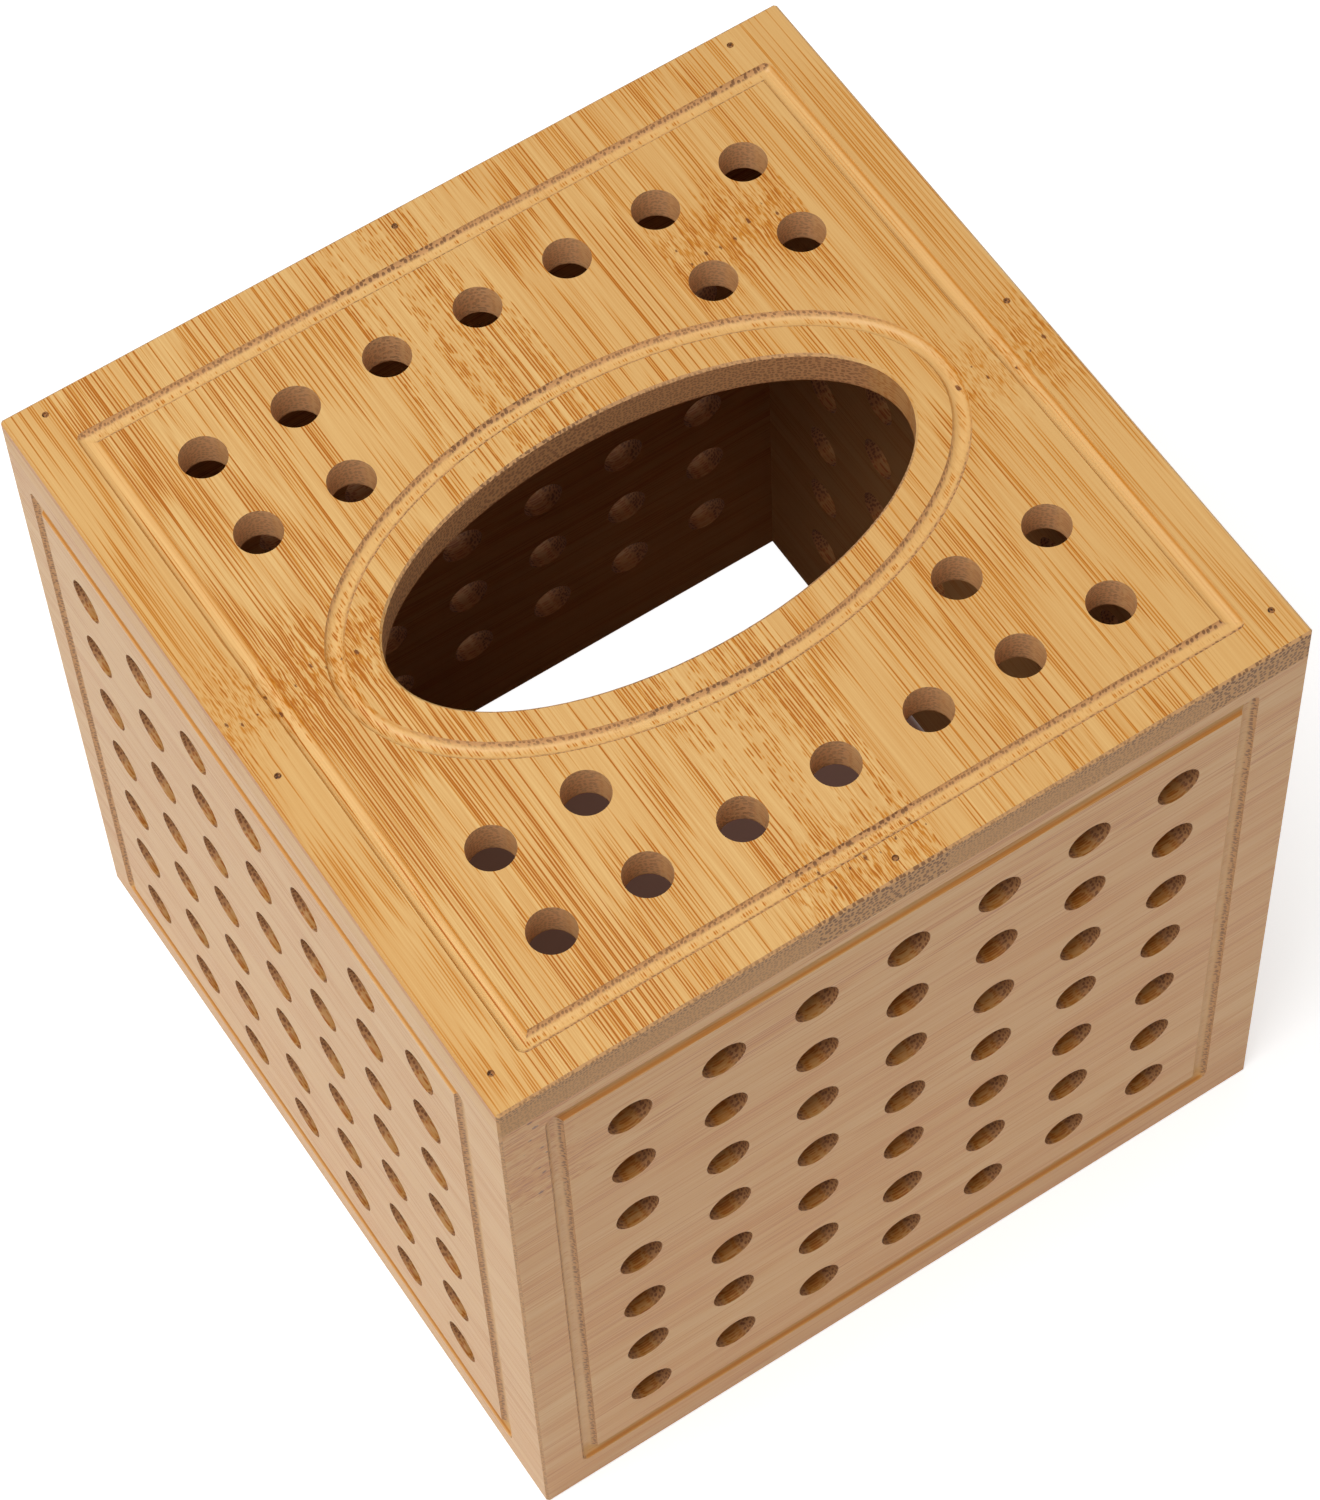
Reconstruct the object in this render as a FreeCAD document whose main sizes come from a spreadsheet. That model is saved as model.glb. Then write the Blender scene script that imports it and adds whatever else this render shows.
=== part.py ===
import FreeCAD, Part

import math
import os

import Sketcher

# Tissue box cover: five bamboo boards, glued and pinned into a cube that has no floor.
# Origin at the middle of the footprint, on the table. +Z is up and the front wall faces -Y.

# Driving dimensions in millimetres
SIZES = {
    # Outside of the box and its boards
    "box_width": 140,
    "box_depth": 140,
    "wall_height": 134.4,
    "wall_thickness": 7.2,
    "top_thickness": 6.6,
    "edge_easing": 0.4,
    # Round-nosed cutter that runs the grooves
    "cutter_radius": 1.6,
    "groove_depth": 1,
    # Frame groove of a wall, from the wall's edges to the middle of the groove
    "wall_frame_side": 9.5,
    "front_frame_foot": 8.6,
    "front_frame_head": 4.5,
    "side_frame_foot": 6.7,
    "side_frame_head": 6.4,
    # Frame groove of the top board, from the board's edges to the middle of the groove
    "top_frame_side": 9,
    # How far the routed and drilled work sits off the middle of its board: on a wall to the
    # left as seen from outside, on the top board to the front and to the right
    "front_shift": 0.8,
    "side_shift": 2.1,
    "top_front_shift": 1.3,
    "top_right_shift": 0.3,
    # Drilled holes, with the least room to the frame groove and to the oval groove
    "hole_diameter": 7.6,
    "hole_pitch": 16.1,
    "hole_border": 11,
    "hole_land": 1,
    # Oval tissue opening, and how far outside its edge the oval groove runs
    "opening_length": 89.5,
    "opening_width": 44,
    "opening_rim": 7.1,
    # Headless pin nails that hold the top board on the walls
    "pin_diameter": 1,
    "pin_length": 16,
    "pin_sink": 0.5,
    "pin_inset": 3,
    "pin_clearance": 0.05,
}

# The walls, each a quarter turn on from the one before: the size a wall runs along, the size
# it stands across, and which of the two sets of frame sizes it takes
WALLS = {
    "front_wall": ("box_width", "box_depth", "front"),
    "right_wall": ("box_depth", "box_width", "side"),
    "back_wall": ("box_width", "box_depth", "front"),
    "left_wall": ("box_depth", "box_width", "side"),
}
QUARTER_TURN = 90

# Pins in the upper edge of each wall, as shares of half the wall's run from its middle
PIN_SHARES = {
    "front_wall": (-0.02,),
    "right_wall": (-0.91, 0.04),
    "back_wall": (-0.85, 0.03, 0.91),
    "left_wall": (0.09, 0.91),
}
PIN_HOLE = "sizes.pin_diameter + 2 * sizes.pin_clearance"

doc = FreeCAD.newDocument("tissue_box_cover")
sheet = doc.addObject("Spreadsheet::Sheet", "sizes")
for row, (alias, value) in enumerate(SIZES.items(), start=1):
    sheet.set(f"A{row}", alias)
    sheet.set(f"B{row}", str(value))
    sheet.setAlias(f"B{row}", alias)
doc.recompute()


def number(expression):
    """Value of an expression on the sheet's sizes."""
    return float(sheet.evalExpression(expression))


def turned(x, y, quarters):
    """Expressions of the point x, y after quarter turns about the box's upright axis."""
    spots = ((x, y), (f"-({y})", x), (f"-({x})", f"-({y})"), (y, f"-({x})"))
    return spots[quarters]


# Sketch helpers: every place in a sketch is a pair of expressions on the sizes


def new_sketch(body, name, plane, lift="0"):
    """Sketch on one of the body's own planes, lifted along that plane's normal."""
    sketch = body.newObject("Sketcher::SketchObject", f"{body.Name}_{name}")
    support = next(item for item in body.Origin.OriginFeatures if item.Role == plane)
    sketch.AttachmentSupport = [(support, "")]
    sketch.MapMode = "FlatFace"
    sketch.setExpression("AttachmentOffset.Base.z", lift)
    return sketch


def bind(sketch, constraint, expression):
    """Add a dimension that follows an expression."""
    index = sketch.addConstraint(Sketcher.Constraint(*constraint, number(expression)))
    sketch.setExpression(f"Constraints[{index}]", expression)


def hold_point(sketch, geometry, position, x, y):
    """Hold one point of the sketch at x, y from the sketch's origin."""
    bind(sketch, ("DistanceX", -1, 1, geometry, position), x)
    bind(sketch, ("DistanceY", -1, 1, geometry, position), y)


def draw_polygon(sketch, points):
    """Closed outline through the points."""
    spots = [FreeCAD.Vector(number(x), number(y), 0) for x, y in points]
    for start, end in zip(spots, spots[1:] + spots[:1]):
        sketch.addGeometry(Part.LineSegment(start, end))
    for side, (x, y) in enumerate(points):
        side_before = (side - 1) % len(points)
        sketch.addConstraint(Sketcher.Constraint("Coincident", side_before, 2, side, 1))
        hold_point(sketch, side, 1, x, y)


def draw_circles(sketch, diameter, centres):
    """Equal circles round the centres."""
    for index, (x, y) in enumerate(centres):
        centre = FreeCAD.Vector(number(x), number(y), 0)
        sketch.addGeometry(Part.Circle(centre, FreeCAD.Vector(0, 0, 1), number(diameter) / 2))
        hold_point(sketch, index, 3, x, y)
        if index:
            sketch.addConstraint(Sketcher.Constraint("Equal", 0, index))
        else:
            bind(sketch, ("Diameter", index), diameter)


def draw_oval(sketch, length, width, x, y):
    """Ellipse with its long axis along the sketch's own horizontal axis."""
    centre = FreeCAD.Vector(number(x), number(y), 0)
    long_end = centre + FreeCAD.Vector(number(length) / 2, 0, 0)
    short_end = centre + FreeCAD.Vector(0, number(width) / 2, 0)
    oval = sketch.addGeometry(Part.Ellipse(long_end, short_end, centre))
    sketch.exposeInternalGeometry(oval)
    long_axis, short_axis = oval + 1, oval + 2
    sketch.addConstraint(Sketcher.Constraint("Horizontal", long_axis))
    bind(sketch, ("Distance", long_axis), length)
    bind(sketch, ("Distance", short_axis), width)
    hold_point(sketch, oval, 3, x, y)


# Work done on a board that lies flat, with its outside face up


def pocket_through(body, name, sketch):
    """Cut the sketch right through the board, from the outside face down."""
    pocket = body.newObject("PartDesign::Pocket", f"{body.Name}_{name}")
    pocket.Profile = sketch
    pocket.Type = "ThroughAll"
    return pocket


def run_cutter(body, name, path, nose):
    """Groove left by the round-nosed cutter along the path."""
    groove = body.newObject("PartDesign::SubtractivePipe", f"{body.Name}_{name}")
    groove.Profile = nose
    groove.Spine = path
    groove.Transition = "Round corner"
    return groove


def cutter_lift(thickness):
    """Height of the cutter's nose centre over the board's inside face."""
    return f"sizes.{thickness} + sizes.cutter_radius - sizes.groove_depth"


def rout_frame(body, thickness, left, right, foot, head):
    """Four-sided frame groove. The cutter starts at the board's middle, on the foot side."""
    lift = cutter_lift(thickness)
    path = new_sketch(body, "frame_path", "XY_Plane", lift)
    draw_polygon(path, [("0", foot), (right, foot), (right, head), (left, head), (left, foot)])
    nose = new_sketch(body, "frame_nose", "YZ_Plane")
    draw_circles(nose, "2 * sizes.cutter_radius", [(foot, lift)])
    run_cutter(body, "frame_groove", path, nose)


def fitted_count(span):
    """How many holes fit in a frame of the given span."""
    return f"floor(({span} - 2 * sizes.hole_border) / sizes.hole_pitch) + 1"


def first_place(middle, count):
    """Place of the first hole of a centred row."""
    return f"{middle} - ({count} - 1) / 2 * sizes.hole_pitch"


def make_wall(label, quarters, run, across, frame_set):
    """Mitred wall board, routed, drilled, and stood up in its place."""
    body = doc.addObject("PartDesign::Body", label)
    half_run = f"sizes.{run} / 2"
    wall = "sizes.wall_thickness"
    easing = "sizes.edge_easing"
    middle = f"-sizes.{frame_set}_shift"

    # Board with its two ends mitred, and the tips of the mitres eased
    section = new_sketch(body, "section", "XZ_Plane")
    half_section = [
        (f"{half_run} - {wall}", "0"),
        (f"{half_run} - {easing} / 2", f"{wall} - {easing} / 2"),
        (f"{half_run} - {easing}", wall),
    ]
    draw_polygon(section, half_section + [(f"-({x})", y) for x, y in reversed(half_section)])
    board = body.newObject("PartDesign::Pad", f"{label}_board")
    board.Profile = section
    board.Reversed = True
    board.setExpression("Length", "sizes.wall_height")

    # Frame groove
    reach = f"{half_run} - sizes.wall_frame_side"
    foot = f"sizes.{frame_set}_frame_foot"
    head = f"sizes.wall_height - sizes.{frame_set}_frame_head"
    rout_frame(body, "wall_thickness", f"{middle} - ({reach})", f"{middle} + {reach}", foot, head)

    # Field of holes in the middle of the frame
    columns = fitted_count(f"2 * ({reach})")
    rows = fitted_count(f"{head} - {foot}")
    first_hole = new_sketch(body, "first_hole", "XY_Plane", wall)
    place = (first_place(middle, columns), first_place(f"({head} + {foot}) / 2", rows))
    draw_circles(first_hole, "sizes.hole_diameter", [place])
    hole = pocket_through(body, "hole", first_hole)
    field = body.newObject("PartDesign::LinearPattern", f"{label}_hole_field")
    field.Originals = [hole]
    field.Direction = (first_hole, ["H_Axis"])
    field.Direction2 = (first_hole, ["V_Axis"])
    field.setExpression("Length", f"({columns} - 1) * sizes.hole_pitch")
    field.setExpression("Length2", f"({rows} - 1) * sizes.hole_pitch")
    field.setExpression("Occurrences", columns)
    field.setExpression("Occurrences2", rows)
    body.Tip = field

    # Pin holes down from the upper edge
    seats = new_sketch(body, "pin_seats", "XZ_Plane", "-sizes.wall_height")
    inset = f"{wall} - sizes.pin_inset"
    draw_circles(seats, PIN_HOLE, [(f"{share} * {half_run}", inset) for share in PIN_SHARES[label]])
    pin_holes = body.newObject("PartDesign::Pocket", f"{label}_pin_holes")
    pin_holes.Profile = seats
    pin_holes.Reversed = True
    depth = "sizes.pin_sink + sizes.pin_length + sizes.pin_clearance - sizes.top_thickness"
    pin_holes.setExpression("Length", depth)

    # Stood on its foot with the outside face outwards, and turned to its side of the box
    upright = FreeCAD.Rotation(FreeCAD.Vector(1, 0, 0), QUARTER_TURN)
    turn = FreeCAD.Rotation(FreeCAD.Vector(0, 0, 1), QUARTER_TURN * quarters)
    body.Placement = FreeCAD.Placement(FreeCAD.Vector(), turn * upright)
    x, y = turned("0", f"{wall} - sizes.{across} / 2", quarters)
    body.setExpression("Placement.Base.x", x)
    body.setExpression("Placement.Base.y", y)
    return body


def make_top(pin_places):
    """Top board with the tissue opening, laid over the walls."""
    body = doc.addObject("PartDesign::Body", "top_panel")
    half_width = "sizes.box_width / 2"
    half_depth = "sizes.box_depth / 2"
    easing = "sizes.edge_easing"
    middle_x = "sizes.top_right_shift"
    middle_y = "-sizes.top_front_shift"

    # Board with its upright corners eased in line with the walls below
    outline = new_sketch(body, "outline", "XY_Plane")
    corner = [(half_width, f"{half_depth} - {easing}"), (f"{half_width} - {easing}", half_depth)]
    half_outline = corner + [(f"-({x})", y) for x, y in reversed(corner)]
    draw_polygon(outline, half_outline + [(x, f"-({y})") for x, y in reversed(half_outline)])
    board = body.newObject("PartDesign::Pad", "top_panel_board")
    board.Profile = outline
    board.setExpression("Length", "sizes.top_thickness")

    # Oval opening, with its upper rim and the board's upper edges eased
    oval = new_sketch(body, "opening", "XY_Plane", "sizes.top_thickness")
    draw_oval(oval, "sizes.opening_length", "sizes.opening_width", middle_x, middle_y)
    opening = pocket_through(body, "opening_cut", oval)
    doc.recompute()
    half_way = number("sizes.top_thickness / 2")
    edges = enumerate(opening.Shape.Edges, start=1)
    upper_edges = [f"Edge{index}" for index, edge in edges if edge.BoundBox.ZMin > half_way]
    eased = body.newObject("PartDesign::Chamfer", "top_panel_eased_edges")
    eased.Base = (opening, upper_edges)
    eased.setExpression("Size", easing)

    # Frame groove along the edges
    reach_x = f"{half_width} - sizes.top_frame_side"
    reach_y = f"{half_depth} - sizes.top_frame_side"
    left, right = f"{middle_x} - ({reach_x})", f"{middle_x} + {reach_x}"
    foot, head = f"{middle_y} - ({reach_y})", f"{middle_y} + {reach_y}"
    rout_frame(body, "top_thickness", left, right, foot, head)

    # Oval groove around the opening
    groove_length = "sizes.opening_length + 2 * sizes.opening_rim"
    groove_width = "sizes.opening_width + 2 * sizes.opening_rim"
    lift = cutter_lift("top_thickness")
    path = new_sketch(body, "oval_path", "XY_Plane", lift)
    draw_oval(path, groove_length, groove_width, middle_x, middle_y)
    nose = new_sketch(body, "oval_nose", "XZ_Plane", f"-({middle_y})")
    draw_circles(nose, "2 * sizes.cutter_radius", [(f"{middle_x} + ({groove_length}) / 2", lift)])
    run_cutter(body, "oval_groove", path, nose)

    # Holes on the walls' grid, wherever they stay clear of the oval groove
    columns = fitted_count(f"2 * ({reach_x})")
    rows = fitted_count(f"2 * ({reach_y})")
    groove_section = "sizes.groove_depth * (2 * sizes.cutter_radius - sizes.groove_depth)"
    groove_half = math.sqrt(number(groove_section))
    keep_off = number("sizes.hole_diameter / 2 + sizes.hole_land") + groove_half
    clear_x = number(groove_length) / 2 + keep_off
    clear_y = number(groove_width) / 2 + keep_off
    centres = []
    for row in range(int(number(rows))):
        for column in range(int(number(columns))):
            x = f"({first_place('0', columns)}) + {column} * sizes.hole_pitch"
            y = f"({first_place('0', rows)}) + {row} * sizes.hole_pitch"
            if math.hypot(number(x) / clear_x, number(y) / clear_y) > 1:
                centres.append((f"{middle_x} + {x}", f"{middle_y} + {y}"))
    grid = new_sketch(body, "hole_grid", "XY_Plane", "sizes.top_thickness")
    draw_circles(grid, "sizes.hole_diameter", centres)
    pocket_through(body, "holes", grid)

    # Pin holes in line with those of the walls
    seats = new_sketch(body, "pin_seats", "XY_Plane", "sizes.top_thickness")
    draw_circles(seats, PIN_HOLE, pin_places)
    pocket_through(body, "pin_holes", seats)

    body.setExpression("Placement.Base.z", "sizes.wall_height")
    return body


def make_pins(pin_places):
    """Headless pin nails, driven just under the face of the top board."""
    pins = []
    head = "sizes.wall_height + sizes.top_thickness - sizes.pin_sink"
    for index, (x, y) in enumerate(pin_places, start=1):
        pin = doc.addObject("Part::Cylinder", f"pin_{index}")
        pin.setExpression("Radius", "sizes.pin_diameter / 2")
        pin.setExpression("Height", "sizes.pin_length")
        pin.setExpression("Placement.Base.x", x)
        pin.setExpression("Placement.Base.y", y)
        pin.setExpression("Placement.Base.z", f"{head} - sizes.pin_length")
        pins.append(pin)
    group = doc.addObject("Part::Compound", "pin_nails")
    group.Links = pins
    return group


# Four walls, then the top board and the pins at the walls' pin places in the plan
sub_parts = []
pins_in_plan = []
for quarters, (label, (run, across, frame_set)) in enumerate(WALLS.items()):
    sub_parts.append(make_wall(label, quarters, run, across, frame_set))
    for share in PIN_SHARES[label]:
        along = f"{share} * sizes.{run} / 2"
        inset = f"sizes.pin_inset - sizes.{across} / 2"
        pins_in_plan.append(turned(along, inset, quarters))
sub_parts.append(make_top(pins_in_plan))
sub_parts.append(make_pins(pins_in_plan))
doc.recompute()

# Nothing is written unless every feature was made and every cut took material away
for item in doc.Objects:
    if "Invalid" in item.State or "Error" in item.State:
        raise RuntimeError(f"{item.Label} failed: {item.State}")
    if item.isDerivedFrom("PartDesign::Feature") and item.BaseFeature:
        if item.Shape.Volume >= item.BaseFeature.Shape.Volume:
            raise RuntimeError(f"{item.Label} cut nothing")
for sub_part in sub_parts:
    if sub_part.Shape.isNull() or not sub_part.Shape.isValid():
        raise RuntimeError(f"{sub_part.Label} has no valid shape")

os.makedirs("parts", exist_ok=True)
for sub_part in sub_parts:
    sub_part.Shape.exportStep(f"parts/{sub_part.Label}.step")
    print(sub_part.Label, len(sub_part.Shape.Solids), round(sub_part.Shape.Volume))
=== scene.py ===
import math

import bpy
from mathutils import Euler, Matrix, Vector

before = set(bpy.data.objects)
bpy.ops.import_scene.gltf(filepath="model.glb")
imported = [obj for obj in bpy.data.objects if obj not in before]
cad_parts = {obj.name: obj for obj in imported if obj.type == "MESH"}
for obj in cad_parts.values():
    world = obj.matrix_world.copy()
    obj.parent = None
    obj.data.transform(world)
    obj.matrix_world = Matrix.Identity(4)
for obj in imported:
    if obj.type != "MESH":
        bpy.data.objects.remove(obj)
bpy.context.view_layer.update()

# Top board
# A bamboo board edge-glued from flat strips, sanded and sealed with a thin satin lacquer. It is
# laid over the walls, and carries the oval opening, the routed grooves and the drilled holes.


class Wire:
    """A value, vector or colour on its way through the nodes of a material or of the room."""

    def __init__(self, tree, socket=None):
        self.tree = tree
        self.socket = socket

    def node(self, kind, settings=None, sockets=None, output=0):
        """Add a node, settings first and sockets next, and go on from one of its outputs."""
        made = self.tree.nodes.new(f"ShaderNode{kind}")
        for name, value in (settings or {}).items():
            if name == "stops":
                while len(made.color_ramp.elements) < len(value):
                    made.color_ramp.elements.new(1)
                for stop, (place, colour) in zip(made.color_ramp.elements, value):
                    stop.position = place
                    stop.color = (*colour, 1)
            elif name == "interpolation":
                made.color_ramp.interpolation = value
            else:
                setattr(made, name, value)
        for name, value in (sockets or {}).items():
            if isinstance(value, Wire):
                self.tree.links.new(value.socket, made.inputs[name])
            elif made.inputs[name].type == "RGBA":
                made.inputs[name].default_value = (*value, 1)
            else:
                made.inputs[name].default_value = value
        return Wire(self.tree, made.outputs[output] if made.outputs else None)

    def other(self, output):
        """Another output of the node that this came from."""
        return Wire(self.tree, self.socket.node.outputs[output])

    def split(self, kind, names):
        """The named parts of this vector (kind XYZ) or colour (kind Color)."""
        made = self.node(f"Separate{kind}", {}, {0: self})
        return [made.other(name) for name in names]

    def maths(self, operation, first, second):
        """Math for values alone, and Vector Math where a vector or a colour takes part."""
        sides = [first, second]
        wires = [side.socket.type for side in sides if isinstance(side, Wire)]
        if set(wires) == {"VALUE"} and not any(isinstance(side, tuple) for side in sides):
            return self.node("Math", {"operation": operation}, dict(enumerate(sides)))
        sides = [side if isinstance(side, (Wire, tuple)) else (side,) * 3 for side in sides]
        return self.node("VectorMath", {"operation": operation}, dict(enumerate(sides)))

    def __add__(self, other):
        return self.maths("ADD", self, other)

    def __radd__(self, other):
        return self.maths("ADD", other, self)

    def __sub__(self, other):
        return self.maths("SUBTRACT", self, other)

    def __rsub__(self, other):
        return self.maths("SUBTRACT", other, self)

    def __mul__(self, other):
        return self.maths("MULTIPLY", self, other)

    def __rmul__(self, other):
        return self.maths("MULTIPLY", other, self)

    def __truediv__(self, other):
        return self.maths("DIVIDE", self, other)

    def __abs__(self):
        return self.node("Math", {"operation": "ABSOLUTE"}, {0: self})

    def most(self, other):
        """The larger of this value and the other."""
        return self.maths("MAXIMUM", self, other)

    def fade(self, start, end):
        """0 at start, 1 at end, and smooth between them."""
        return self.node(
            "MapRange",
            {"interpolation_type": "SMOOTHSTEP"},
            {"Value": self, "From Min": start, "From Max": end},
        )

    def blend(self, first, second):
        """The first colour where this value is 0, and the second where it is 1."""
        return self.node("Mix", {"data_type": "RGBA"}, {0: self, 6: first, 7: second}, 2)


def bare_nodes(owner):
    """Clear the nodes of a material or of the room, ready for new ones."""
    owner.use_nodes = True
    owner.node_tree.nodes.clear()
    return Wire(owner.node_tree)


# Lengths in the bamboo are in millimetres
PER_METRE = 1000
LONG_GRAIN = [
    (0.0, (0.8, 0.5, 0.19)),
    (0.3, (0.7, 0.385, 0.122)),
    (0.6, (0.59, 0.225, 0.018)),
    (1.0, (0.45, 0.13, 0.002)),
]
NODE_PIT = (0.15, 0.035, 0.001)
PIT_PITCH = 2.6
FIBRE_PITCH = 0.41
END_PITH = (0.62, 0.33, 0.14)
END_FIBRE = (0.2, 0.09, 0.042)
HALF_BOARD = 70
HOLES_REACH = (67, 65)
OVAL_RIM = (0.8, 0.35, 0.15)
OVAL_CENTRE, OVAL_REACH = (0.3, -1.3), (46.5, 23.5)
# Painted shade that darkens the inside faces, and how far the bare, shaded inside reaches
INSIDE_PAINTED_SHADE = (0.62, 0.48, 0.38)
BARE_AND_SHADED_REACH, BARE_AND_SHADED_HEIGHT = (67.5, 63.5), (135, 134)


def bamboo(name, axes, strips, hole_painted_light_and_shade, routed, lacquer):
    """Bamboo board, solid all through: fibres run along it, so its cut ends show them as dots.

    Axes are along the grain, across the strips and into the face. A strip is its first edge
    across the board, its tone, the strength and pitch of its fibre bundles, the run of a dark
    stretch in them, and its node's place along the board. The hole colour, with its share in
    the holes, is painted light where the holes are lit and painted shade where they are not.
    Routed is how far out the grooved face lies, how much paler its grooves are, and how
    strongly the pores show in them. Lacquer is the strength of the lacquer's shine.
    """
    material = bpy.data.materials.new(name)
    start = bare_nodes(material)
    place = start.node("TexCoord", output="Object") * PER_METRE
    x, y, z = place.split("XYZ", "XYZ")
    u, v, w = place.split("XYZ", axes)

    # What differs from strip to strip, on two stepped ramps that hold numbers from 0 up
    first_edge, ramp_length = strips[0][0], 150
    longest_run, lowest_knot, knot_range = 100, -100, 300
    looks, runs = [], []
    for edge, tone, strength, pitch, run, knot in strips:
        stop = (edge - first_edge) / ramp_length
        looks.append((stop, (tone, strength, pitch)))
        runs.append((stop, (run / longest_run, (knot - lowest_knot) / knot_range, 0)))
    share = (v - first_edge) / ramp_length
    step = {"interpolation": "CONSTANT"}
    look = start.node("ValToRGB", {**step, "stops": looks}, {0: share})
    tone, strength, pitch = look.split("Color", ("Red", "Green", "Blue"))
    run = start.node("ValToRGB", {**step, "stops": runs}, {0: share})
    run, knot = run.split("Color", ("Red", "Green"))
    run, knot = run * longest_run, knot * knot_range + lowest_knot
    own_place = 90
    depth = w + tone * own_place

    def spot(first, second, third=0.0):
        return start.node("CombineXYZ", {}, {0: first, 1: second, 2: third})

    def noise(vector, detail=1.0, output="Fac"):
        return start.node("TexNoise", {}, {"Vector": vector, "Scale": 1, "Detail": detail}, output)

    # The strip's node: a clean band with a row of pits, and broken fibres either side
    from_knot = abs(u - knot + noise(spot(v / 4, depth / 4), 2) * 3 - 1.5)
    node_band = from_knot.fade(2.4, 0.6)
    broken = from_knot.fade(15, 4)
    patch = noise(spot(v / 0.22, u / 1.9, depth / 0.22)).fade(0.44, 0.68)
    patch = patch * (broken * 0.12 + from_knot.fade(8, 1) * 0.5) * (0.35 + strength * 0.6)
    row = {"W": v / PIT_PITCH + tone * 50, "Scale": 1}
    pit = start.node("TexVoronoi", {"voronoi_dimensions": "1D"}, row)
    shift, growth = pit.other("Color").split("Color", ("Red", "Green"))
    pit = spot(pit * PIT_PITCH, (u - knot - (shift - 0.5) * 4.5) / 1.7)
    pit = start.node("VectorMath", {"operation": "LENGTH"}, {0: pit}, "Value")
    ragged = noise(spot(u / 0.25, v / 0.25, depth)) - 0.5
    pit = (pit + ragged * 0.4 + 0.05 - growth * 0.3).fade(0.2, 0)

    # Bundles of fibre: straight tubes that wander a little, each dark in stretches of its own
    wander = noise(spot(u / 60, v / 14, depth / 14), output="Color")
    wander_v, wander_w = wander.split("Color", ("Red", "Green"))
    swirl = noise(spot(u / 6, v / 3, depth / 3)) - 0.5
    tube_v = v + wander_v * 0.7 + swirl * broken
    tube_w = depth + wander_w * 2

    def tubes(gap, scatter):
        packing = {"Vector": spot(tube_v / gap, tube_w / gap), "Scale": 1, "Randomness": scatter}
        return start.node("TexVoronoi", {"voronoi_dimensions": "2D"}, packing)

    fibre = tubes(FIBRE_PITCH, 0.6)
    own_row, own_dark = fibre.other("Color").split("Color", ("Red", "Green"))
    own_row = own_row * 300
    long_run = noise(spot(u / run, own_row))
    short_run = noise(spot(u / 2.2, own_row + 500))
    stretch = (long_run + (short_run - long_run) * broken).fade(0.36, 0.64)
    crowd = noise(spot(tube_v / 2, tube_w / 2, u / 90)) - 0.5
    streak = (stretch * 0.45 + own_dark * 0.5 + crowd * 0.1).fade(0, 0.85)
    streak = streak * fibre.fade(0.46, 0.08)
    fine = noise(spot(tube_v / 0.26, tube_w / 0.26, u / 20)) - 0.5
    broad = noise(spot(v / 4, depth / 4, u / 80), 2) - 0.5

    # Which way the surface faces: the holes, the cut ends and the flanks of the grooves
    normal = start.node("NewGeometry", output="Normal")
    end_on, edge_on, face_on = (abs(part) for part in normal.split("XYZ", axes))
    within = abs(u).most(abs(v - first_edge - HALF_BOARD))
    bored = face_on.fade(0.5, 0.1) * within.fade(*HOLES_REACH)
    cut_end = end_on.fade(0.35, 0.65)
    clear = 1 - end_on.fade(0.05, 0.3) * 0.7
    steep = edge_on.fade(0.55, 0.85)
    sloping = edge_on.fade(0.1, 0.7)
    face, pale, pores = routed
    below = face - abs(w)
    groove = below.fade(0.05, 0.4) * below.fade(2.5, 1.5) * (1 - bored)

    # Colour along the grain, then on what is cut across it, and in the holes and the opening
    dark = (streak * 1.4 + fine * 0.8) * (1 + broken * 0.3) * (1 - node_band * 0.5)
    dark = dark * (strength * clear * (1 - sloping * 0.6) + bored * 0.9) + patch
    dark = dark + broad * (0.35 - 0.25 * strength) + tone - 0.13 - 0.22 * strength
    # Painted shade darkens the steep flanks of the grooves
    dark = dark * (1 - groove * 0.2) + groove * (steep * 0.45 - pale)
    long_grain = start.node("ValToRGB", {"stops": LONG_GRAIN}, {0: dark})
    long_grain = (pit * 0.9).blend(long_grain, NODE_PIT)
    dot = 0.35 + pitch.fade(0.55, 0.8) * 0.5 + bored * 0.6 + groove * pores
    dot = tubes(pitch, 0.7).fade(0.42, 0.28) * dot
    colour = (cut_end * 0.9).blend(long_grain, dot.blend(END_PITH, END_FIBRE))
    rim_x = (x - OVAL_CENTRE[0]) / OVAL_REACH[0]
    rim_y = (y - OVAL_CENTRE[1]) / OVAL_REACH[1]
    rim = (rim_x * rim_x + rim_y * rim_y).fade(1.2, 1)
    # The holes take painted light on the top board and painted shade in the walls
    hole_painted_colour, hole_painted_share = hole_painted_light_and_shade
    colour = (bored * hole_painted_share * (1 - rim)).blend(colour, hole_painted_colour)
    colour = (bored * rim * 0.4).blend(colour, OVAL_RIM)

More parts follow.
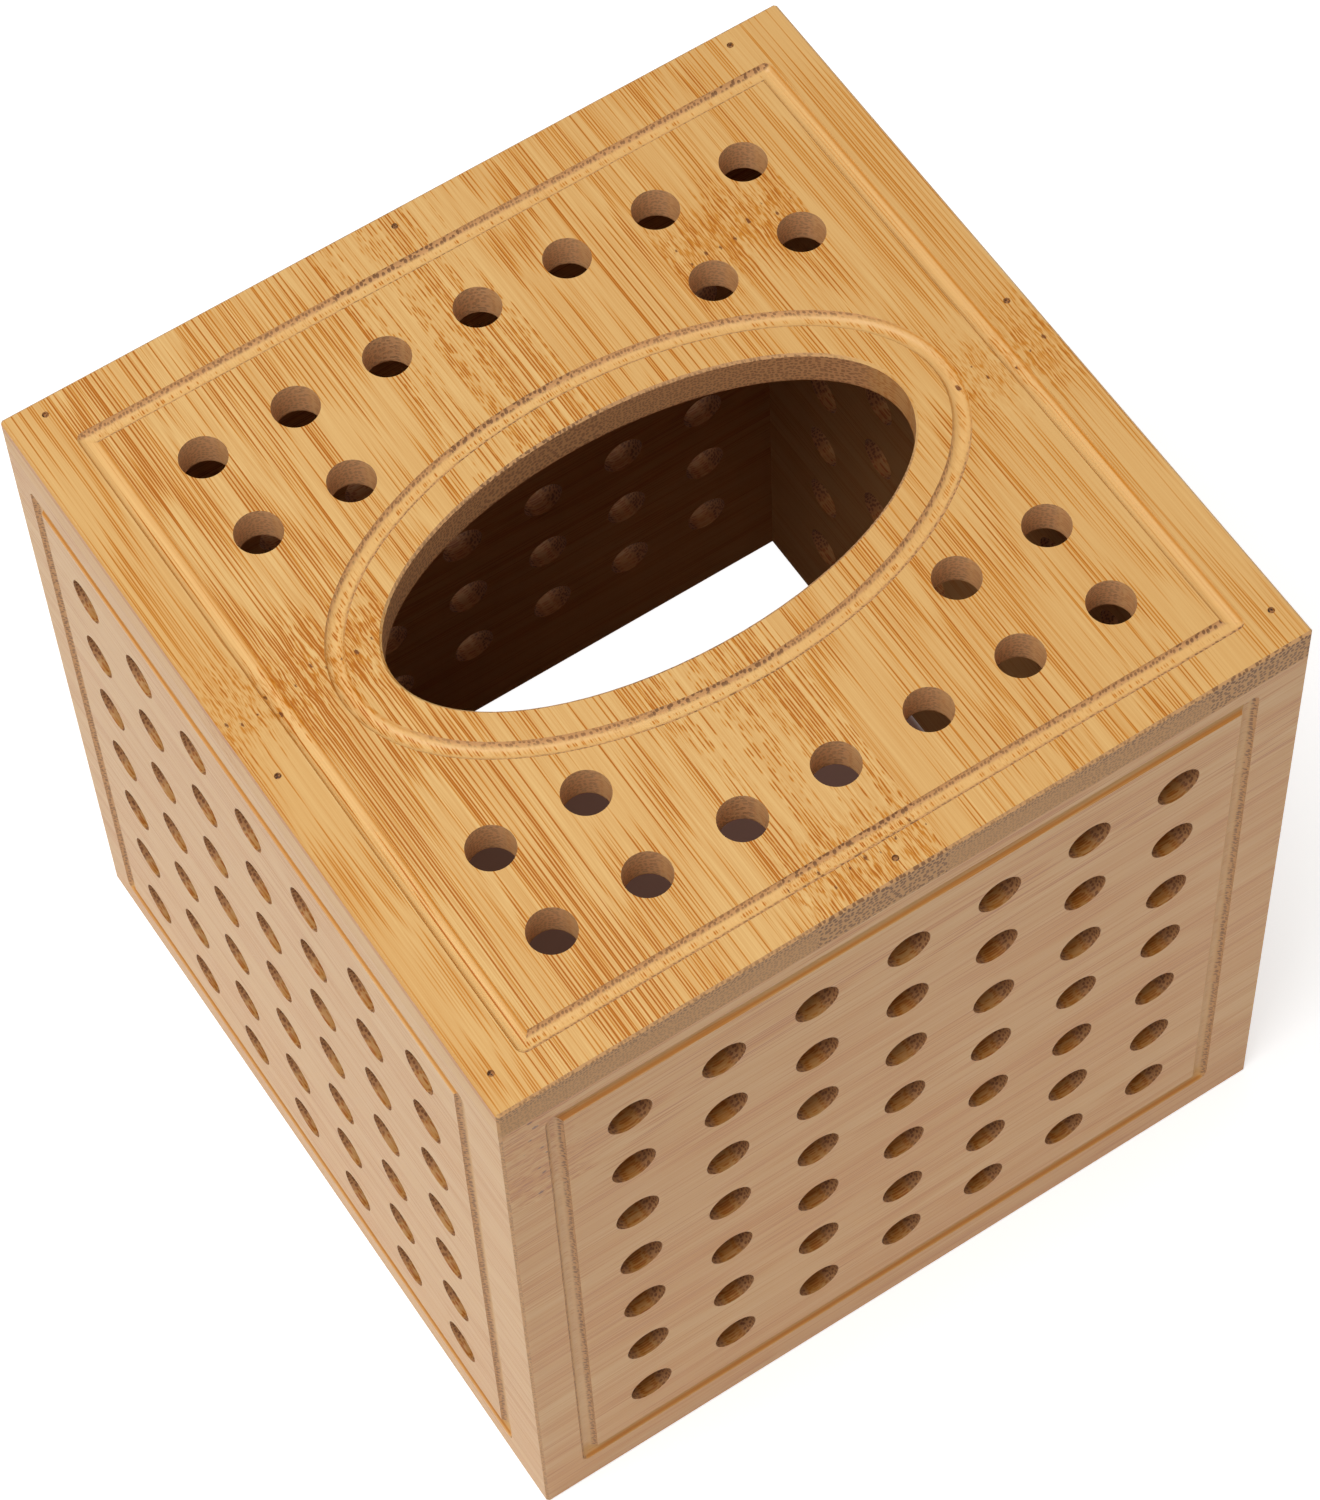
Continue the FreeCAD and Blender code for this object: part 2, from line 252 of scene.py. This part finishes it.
    # The lacquer covers the outside, and the inside is left bare and darkened with painted shade
    inside = abs(x).most(abs(y)).fade(*BARE_AND_SHADED_REACH) * z.fade(*BARE_AND_SHADED_HEIGHT)
    relief = fine * 0.4 - streak * 0.3 - dot * cut_end * 0.7 - pit * 0.4
    bump = {"Height": relief, "Strength": 0.35, "Distance": 0.00012}
    finish = {
        "Base Color": inside.blend(colour, colour * INSIDE_PAINTED_SHADE),
        "Roughness": 0.42 + fine * 0.12 + cut_end * 0.2 + inside * 0.45,
        "Normal": start.node("Bump", {}, bump),
        "IOR": 1.5,
        "Specular IOR Level": lacquer,
    }
    shader = start.node("BsdfPrincipled", {}, finish)
    start.node("OutputMaterial", {}, {"Surface": shader})
    return material


NO_NODE = 200
TOP_STRIPS = [
    (-70, 0.455, 0.5, 0.56, 60, 6),
    (-62.4, 0.55, 1.15, 0.58, 60, 5),
    (-39.7, 0.475, 0.8, 0.6, 80, NO_NODE),
    (-17.2, 0.485, 0.9, 0.8, 2.5, -64),
    (5.5, 0.51, 0.7, 0.55, 80, NO_NODE),
    (28.3, 0.52, 0.65, 0.62, 50, 37),
    (51.6, 0.45, 0.4, 0.78, 40, -6),
]
# Painted light that makes the top board's holes pale
TOP_HOLE_PAINTED_LIGHT = ((0.95, 0.56, 0.28), 0.56)
TOP_ROUTED = (141, 0.06, 0.35)
top_bamboo = bamboo("top_bamboo", "YXZ", TOP_STRIPS, TOP_HOLE_PAINTED_LIGHT, TOP_ROUTED, lacquer=0.35)
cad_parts["top_panel"].material_slots[0].material = top_bamboo

# Front and back walls
# Bamboo boards like the top, with the grain level and the ends mitred. They are glued to the
# side walls along the mitres, routed with a frame groove and drilled in rows.
FRONT_STRIPS = [
    (-4, 0.61, 0.25, 0.6, 40, NO_NODE),
    (18, 0.57, 0.3, 0.56, 50, NO_NODE),
    (40.5, 0.62, 0.3, 0.62, 40, NO_NODE),
    (63, 0.58, 0.3, 0.58, 50, NO_NODE),
    (85.5, 0.61, 0.3, 0.6, 40, NO_NODE),
    (108, 0.62, 0.45, 0.64, 30, -65),
]
# Painted shade that darkens the walls' holes
WALL_HOLE_PAINTED_SHADE = ((0.3, 0.09, 0.02), 0.35)
WALL_ROUTED = (70, 0, 0.4)
front_bamboo = bamboo(
    "front_bamboo", "XZY", FRONT_STRIPS, WALL_HOLE_PAINTED_SHADE, WALL_ROUTED, lacquer=0.65
)
for wall in ("front_wall", "back_wall"):
    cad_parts[wall].material_slots[0].material = front_bamboo

# Side walls
# The same boards again, a quarter turn round, with their mitres glued to the front and back.
SIDE_STRIPS = [
    (-4, 0.47, 0.25, 0.6, 70, NO_NODE),
    (16, 0.49, 0.3, 0.58, 60, NO_NODE),
    (38.5, 0.46, 0.3, 0.6, 70, NO_NODE),
    (61, 0.48, 0.3, 0.56, 60, NO_NODE),
    (83.5, 0.47, 0.3, 0.62, 70, NO_NODE),
    (106, 0.48, 0.35, 0.6, 60, NO_NODE),
]
side_bamboo = bamboo("side_bamboo", "YZX", SIDE_STRIPS, WALL_HOLE_PAINTED_SHADE, WALL_ROUTED, lacquer=0.6)
for wall in ("left_wall", "right_wall"):
    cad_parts[wall].material_slots[0].material = side_bamboo

# Pin nails
# Headless steel pins through the top board into the walls, sunk a little and gone dark.
PIN_BLACK, PIN_RUST = (0.05, 0.018, 0.006), (0.42, 0.19, 0.06)
pin_steel = bpy.data.materials.new("pin_steel_dark")
steel = bare_nodes(pin_steel)
specks = {"Vector": steel.node("TexCoord", output="Object"), "Scale": 2500, "Detail": 3}
rust = steel.node("TexNoise", {}, specks).fade(0.4, 0.6)
rust_colour = rust.blend(PIN_BLACK, PIN_RUST)
rusty = {"Base Color": rust_colour, "Metallic": 0.2, "Roughness": 0.5 + rust * 0.3}
steel.node("OutputMaterial", {}, {"Surface": steel.node("BsdfPrincipled", {}, rusty)})
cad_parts["pin_nails"].material_slots[0].material = pin_steel

# Floor
# A plain white table top that keeps the cover's shadow. Under the cover it is painted shade,
# but for a strip at the back that shows white through the opening, and from below it is clear.
TABLE_WIDTH, TABLE_DROP = 30, 0.0002
OPEN_TABLE, BACK_STRIP = (0.062, 0.066), (0.043, 0.047)
# Under the cover the table's colour is painted shade, and a faint glow lifts it for the camera
TABLE_WHITE, TABLE_PAINTED_SHADE = (0.8, 0.8, 0.8), (0.17, 0.115, 0.11)
WHITE_GLOW, DIM_GLOW = 0.55, (0.04, 0.016, 0.007)


def in_view(ray):
    """1 where the camera sees this, straight or in metal or glass, and 0 for all other light."""
    return ray.most(ray.other("Is Glossy Ray")).most(ray.other("Is Transmission Ray"))


bpy.ops.mesh.primitive_plane_add(size=TABLE_WIDTH, location=(0, 0, -TABLE_DROP))
floor = bpy.context.object
floor.name = "floor"
white = bpy.data.materials.new("white_table")
table = bare_nodes(white)
ray = table.node("LightPath", output="Is Camera Ray")
x, y = table.node("TexCoord", output="Object").split("XYZ", "XY")
open_table = abs(x).most(abs(y)).fade(*OPEN_TABLE)
back_strip = y.fade(*BACK_STRIP) * (1 - open_table)
glow = open_table * WHITE_GLOW * in_view(ray) + back_strip * ray
# A faint glow to the camera on the painted shade under the cover
glow = (1 - open_table) * ray * DIM_GLOW + glow
glow = table.node("Emission", {}, {"Color": glow, "Strength": 1})
# The table under the cover takes the painted shade colour
matt = table.node("BsdfDiffuse", {}, {"Color": open_table.blend(TABLE_PAINTED_SHADE, TABLE_WHITE)})
both = table.node("AddShader", {}, {0: matt, 1: glow})
from_below = table.node("NewGeometry", output="Backfacing")
clear_below = {"Fac": from_below, 1: both, 2: table.node("BsdfTransparent")}
table.node("OutputMaterial", {}, {"Surface": table.node("MixShader", {}, clear_below)})
floor.data.materials.append(white)

# Light and camera
# Soft overhead light from the left, a white room around it, and a long lens from the front left.
ROOM_LIGHT = 0.3
OVERHEAD, OVERHEAD_DIM = (0.5, 0.85), 0.3
world = bpy.data.worlds.new("white_room")
bpy.context.scene.world = world
room = bare_nodes(world)
seen = in_view(room.node("LightPath", output="Is Camera Ray"))
rise = room.node("TexCoord", output="Generated").split("XYZ", "Z")[0].fade(*OVERHEAD)
sky = {"Color": ROOM_LIGHT + seen * (1 - ROOM_LIGHT - rise * OVERHEAD_DIM), "Strength": 1}
room.node("OutputWorld", {}, {"Surface": room.node("Background", {}, sky)})

key = bpy.data.lights.new("overhead_softbox", "AREA")
key.shape = "SQUARE"
key.size = 0.8
key.energy = 11
key_lamp = bpy.data.objects.new("overhead_softbox", key)
key_lamp.location = (-0.39, -0.08, 1.22)
aim = Vector((0, 0, 0.1)) - key_lamp.location
key_lamp.rotation_euler = aim.to_track_quat("-Z", "Y").to_euler()
bpy.context.scene.collection.objects.link(key_lamp)

lens = bpy.data.cameras.new("long_lens")
lens.lens = 120.05
lens.sensor_width = 36
camera = bpy.data.objects.new("long_lens", lens)
camera.location = (-0.20138, -0.34629, 0.7602)
camera.rotation_euler = Euler([math.radians(angle) for angle in (30.2615, 1.7332, -33.1717)])
bpy.context.scene.collection.objects.link(camera)
bpy.context.scene.camera = camera
bpy.context.scene.view_settings.view_transform = "Standard"
